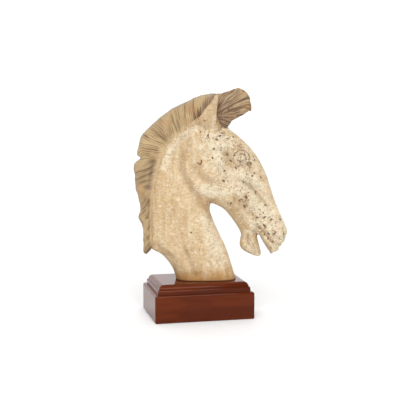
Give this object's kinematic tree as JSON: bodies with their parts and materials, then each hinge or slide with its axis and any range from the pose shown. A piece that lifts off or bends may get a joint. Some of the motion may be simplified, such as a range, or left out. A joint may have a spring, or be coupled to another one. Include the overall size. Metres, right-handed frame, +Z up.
{
  "type": "horse head sculpture",
  "caption": "Carved wooden horse head and neck with a cropped mane and swept forelock, standing on a stepped, moulded rectangular plinth",
  "frame": {"origin": "centre of the plinth's flat underside, where it rests", "axes": "+X along the plinth's long side, towards the horse's nose; +Y across, towards the horse's left; +Z up"},
  "size_m": [0.255, 0.123, 0.3803],
  "materials": {
    "carved_wood": "satin",
    "plinth_wood": "glossy varnish"
  },
  "bodies": {
    "root": {"horse_head": "carved_wood", "plinth": "plinth_wood"}
  },
  "joints": []
}
